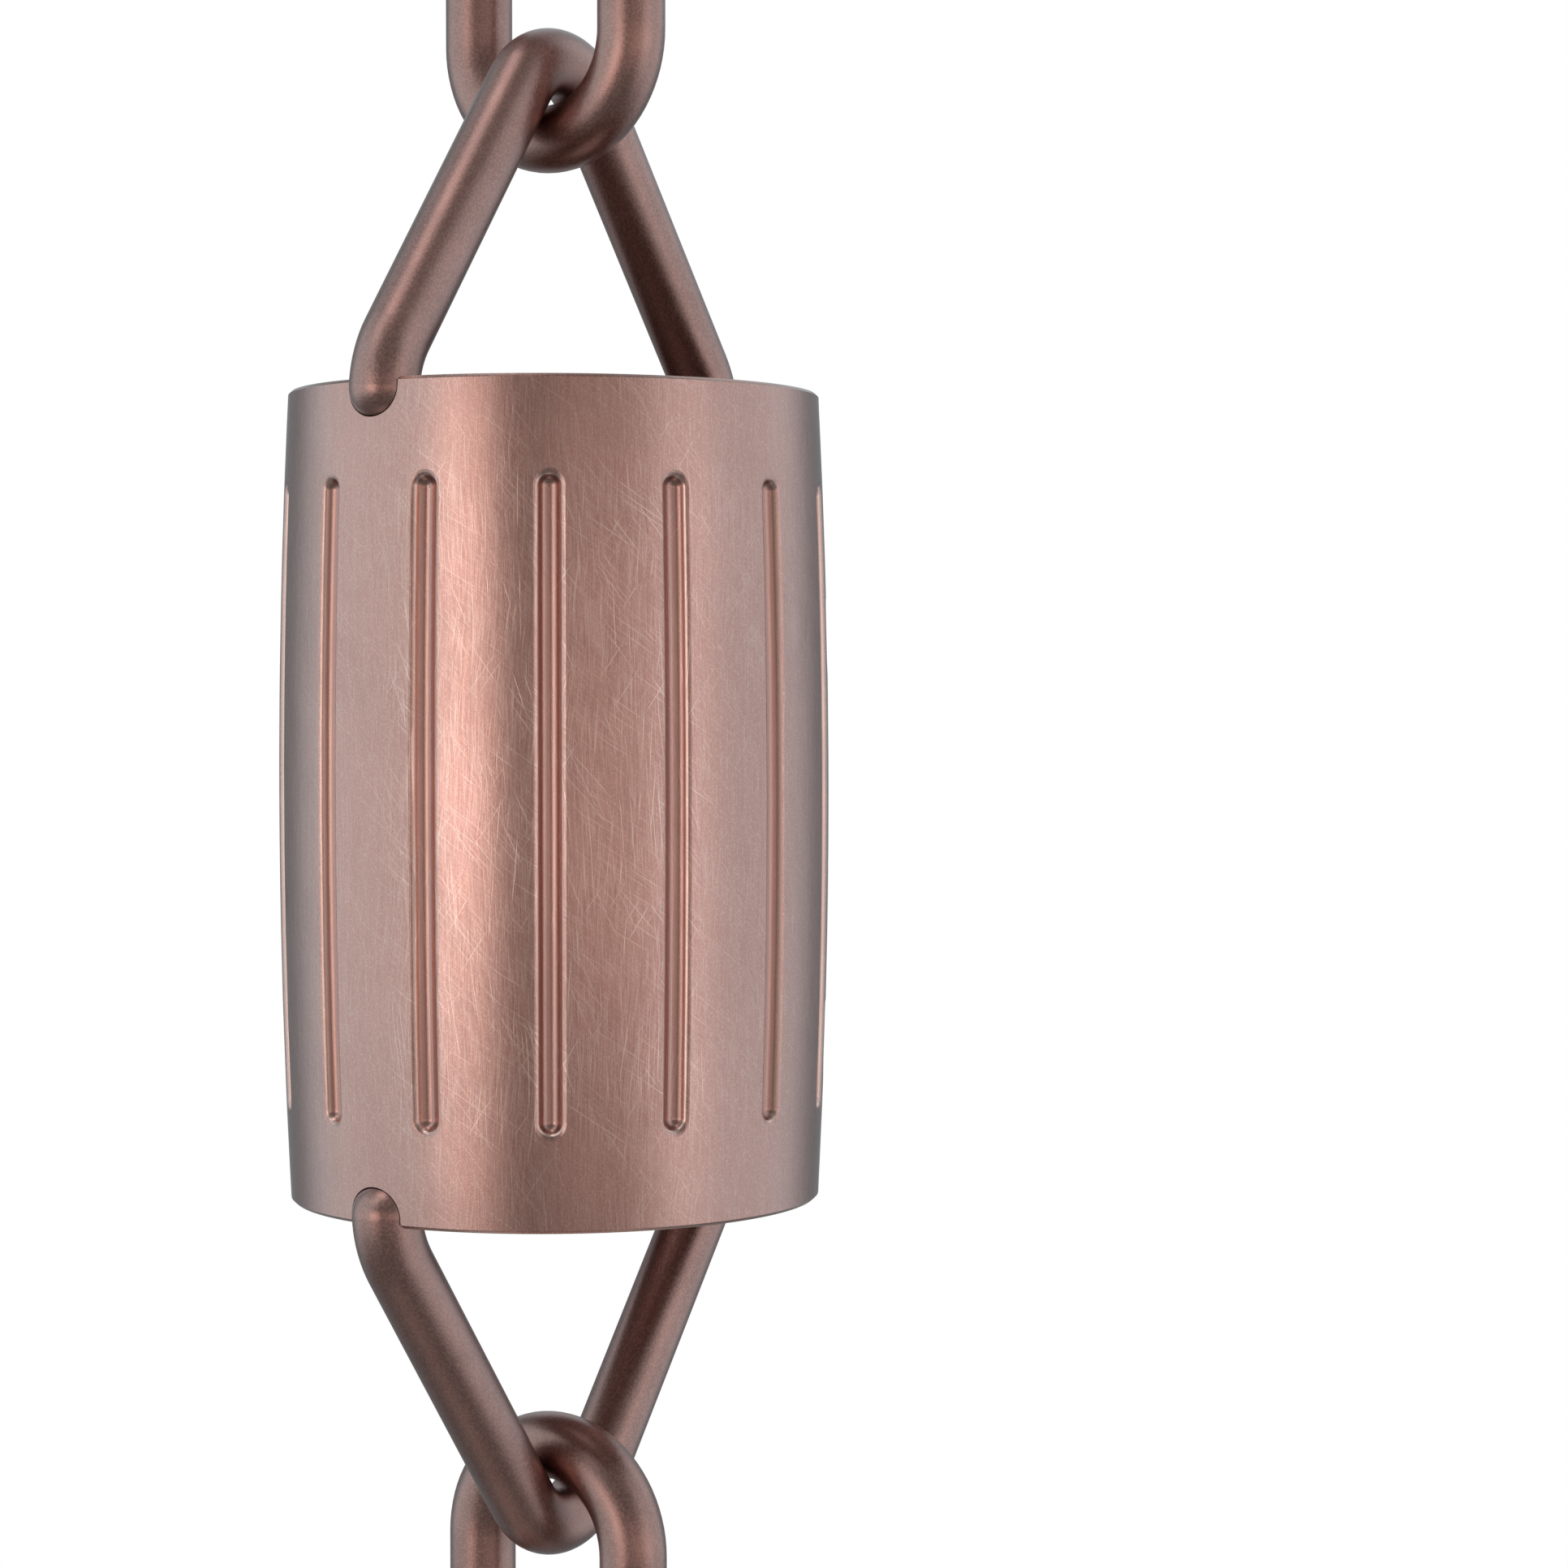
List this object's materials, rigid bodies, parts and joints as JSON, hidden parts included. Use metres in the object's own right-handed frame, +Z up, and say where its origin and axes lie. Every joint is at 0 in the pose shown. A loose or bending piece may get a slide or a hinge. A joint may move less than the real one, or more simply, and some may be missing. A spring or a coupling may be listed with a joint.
{
  "type": "rain chain",
  "caption": "Hanging rain chain of fluted barrel-shaped tube cups with bent-wire bails, joined by oval wire links; leads rain water down from a gutter.",
  "frame": {"origin": "inside top of the first link's upper bend, where the chain hangs", "axes": "+Z up along the chain, the bails' feet on X, the oval links in the YZ plane"},
  "size_m": [0.0532, 0.052, 0.8216],
  "materials": {
    "brushed_copper": "brushed, lightly antiqued copper",
    "copper_wire": "satin, darkened copper"
  },
  "bodies": {
    "chain_link_1": {"link_1": "copper_wire"},
    "cup_unit_1": {"upper_bail_1": "copper_wire", "cup_1": "brushed_copper", "lower_bail_1": "copper_wire"},
    "chain_link_2": {"link_2": "copper_wire"},
    "cup_unit_2": {"upper_bail_2": "copper_wire", "cup_2": "brushed_copper", "lower_bail_2": "copper_wire"},
    "chain_link_3": {"link_3": "copper_wire"},
    "cup_unit_3": {"upper_bail_3": "copper_wire", "cup_3": "brushed_copper", "lower_bail_3": "copper_wire"},
    "chain_link_4": {"link_4": "copper_wire"},
    "cup_unit_4": {"upper_bail_4": "copper_wire", "cup_4": "brushed_copper", "lower_bail_4": "copper_wire"},
    "chain_link_5": {"link_5": "copper_wire"}
  },
  "joints": [
    {"name": "cup_1_swing", "type": "hinge", "parent": "chain_link_1", "child": "cup_unit_1", "pos_m": [0, 0, -0.06048], "axis": [0, 1, 0], "range_deg": [-110, 110]},
    {"name": "link_2_swing", "type": "hinge", "parent": "cup_unit_1", "child": "chain_link_2", "pos_m": [0, 0, -0.19191], "axis": [1, 0, 0], "range_deg": [-110, 110]},
    {"name": "cup_2_swing", "type": "hinge", "parent": "chain_link_2", "child": "cup_unit_2", "pos_m": [0, 0, -0.24839], "axis": [0, 1, 0], "range_deg": [-110, 110]},
    {"name": "link_3_swing", "type": "hinge", "parent": "cup_unit_2", "child": "chain_link_3", "pos_m": [0, 0, -0.37982], "axis": [1, 0, 0], "range_deg": [-110, 110]},
    {"name": "cup_3_swing", "type": "hinge", "parent": "chain_link_3", "child": "cup_unit_3", "pos_m": [0, 0, -0.43631], "axis": [0, 1, 0], "range_deg": [-110, 110]},
    {"name": "link_4_swing", "type": "hinge", "parent": "cup_unit_3", "child": "chain_link_4", "pos_m": [0, 0, -0.56774], "axis": [1, 0, 0], "range_deg": [-110, 110]},
    {"name": "cup_4_swing", "type": "hinge", "parent": "chain_link_4", "child": "cup_unit_4", "pos_m": [0, 0, -0.62423], "axis": [0, 1, 0], "range_deg": [-110, 110]},
    {"name": "link_5_swing", "type": "hinge", "parent": "cup_unit_4", "child": "chain_link_5", "pos_m": [0, 0, -0.75566], "axis": [1, 0, 0], "range_deg": [-110, 110]}
  ]
}
